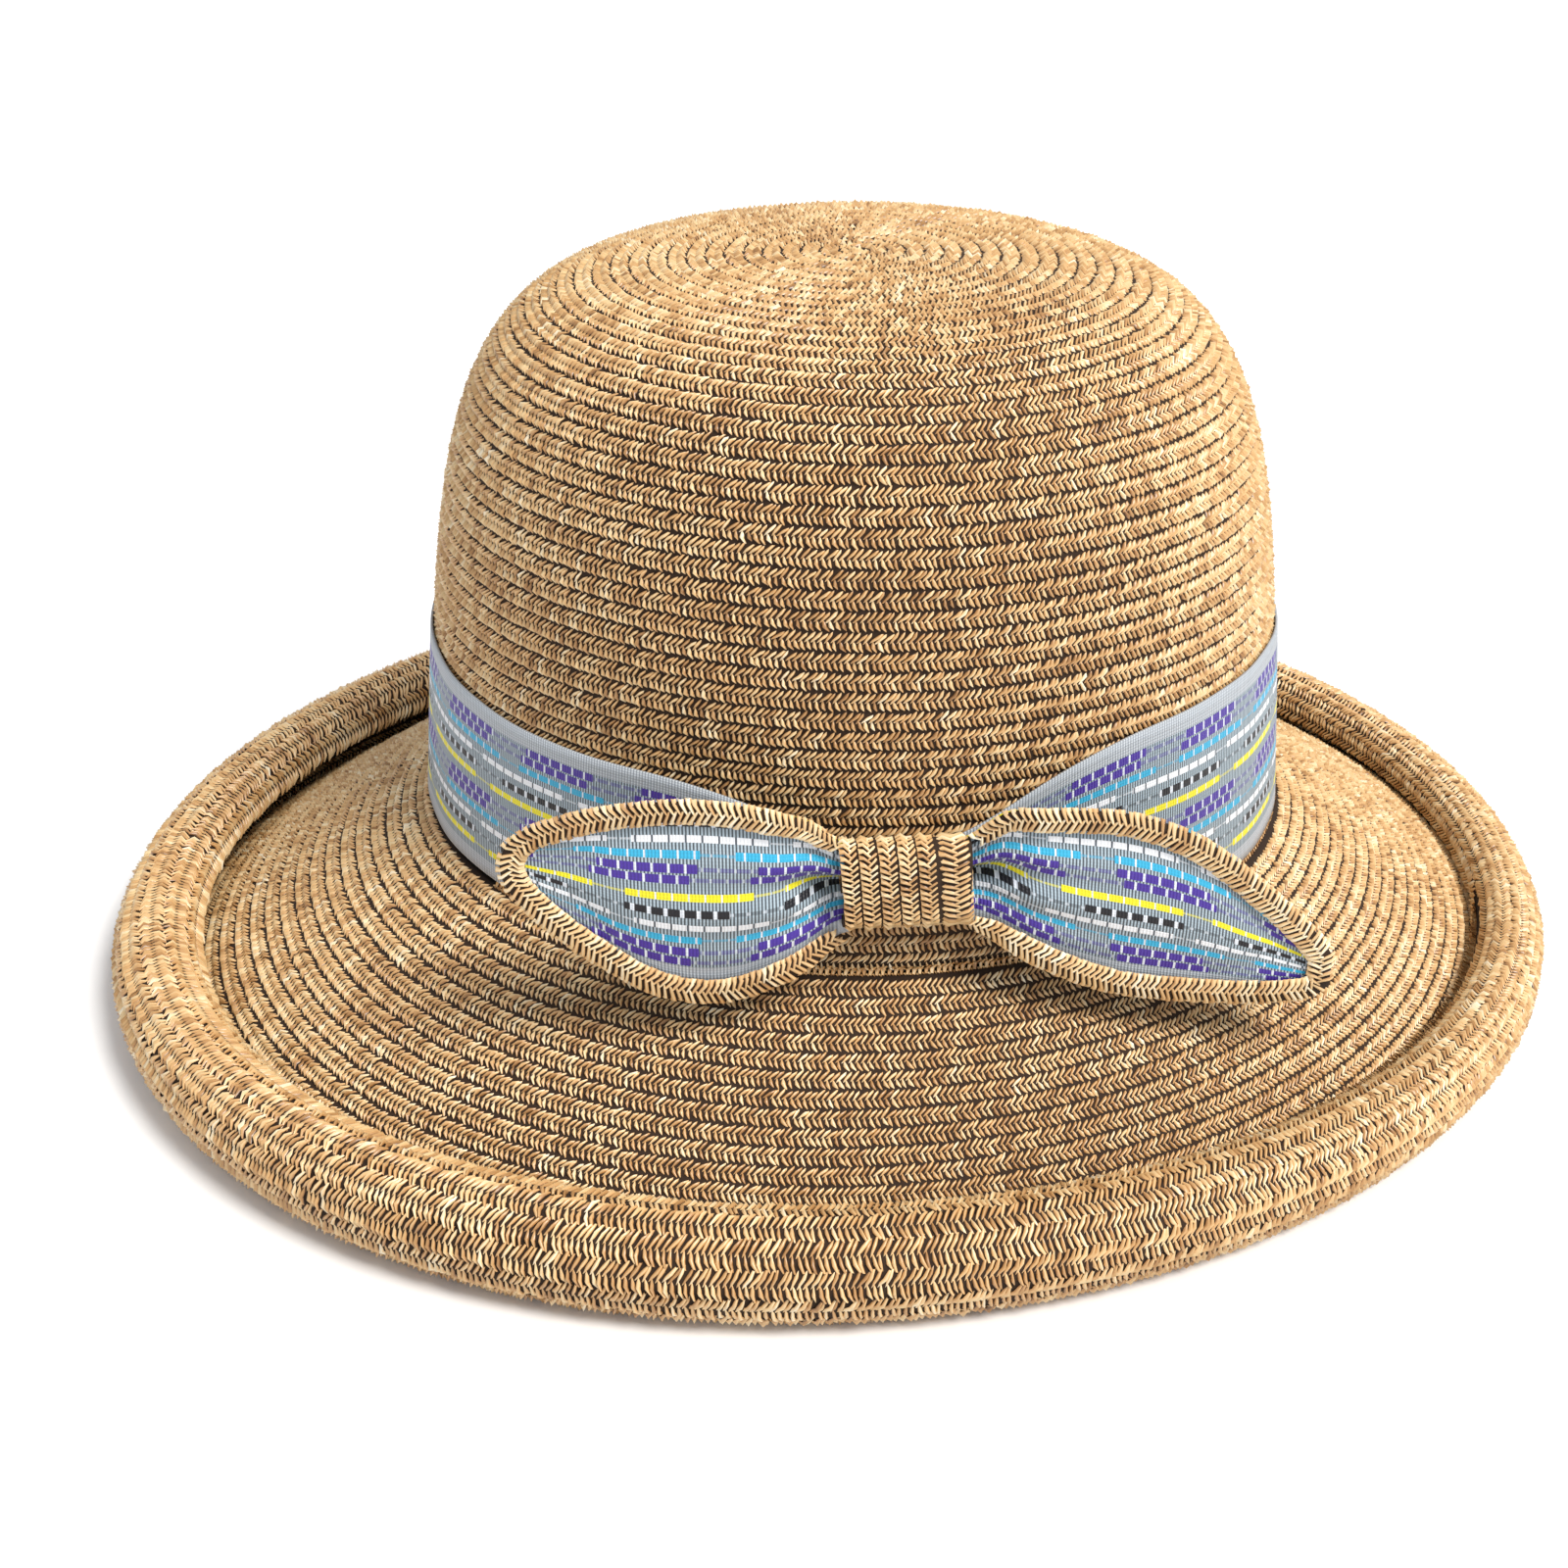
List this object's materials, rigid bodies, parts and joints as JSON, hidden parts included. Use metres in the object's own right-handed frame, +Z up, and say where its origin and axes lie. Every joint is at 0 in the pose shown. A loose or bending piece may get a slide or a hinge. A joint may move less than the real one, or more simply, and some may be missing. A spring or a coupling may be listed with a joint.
{
  "type": "straw bucket hat",
  "caption": "A straw hat of sewn braid with a round crown, a sloping brim with a rolled edge, a striped ribbon band and a ribbon bow edged in braid.",
  "frame": {"origin": "on the floor plane, under the middle of the brim's outline", "axes": "+X to the right as seen from the front, along the longest extent; +Y to the back of the hat, away from the bow; +Z up, out of the top of the crown"},
  "size_m": [0.3286, 0.3054, 0.1602],
  "materials": {
    "straw_braid": "plaited straw, matt with a soft sheen",
    "straw_trim": "plaited straw, matt with a soft sheen",
    "woven_ribbon": "woven, soft sheen"
  },
  "bodies": {
    "root": {"crown": "straw_braid", "brim": "straw_braid", "hatband": "woven_ribbon", "bow_knot": "straw_trim", "left_bow_leaf": "woven_ribbon", "left_leaf_edging": "straw_trim", "right_bow_leaf": "woven_ribbon", "right_leaf_edging": "straw_trim"}
  },
  "joints": []
}
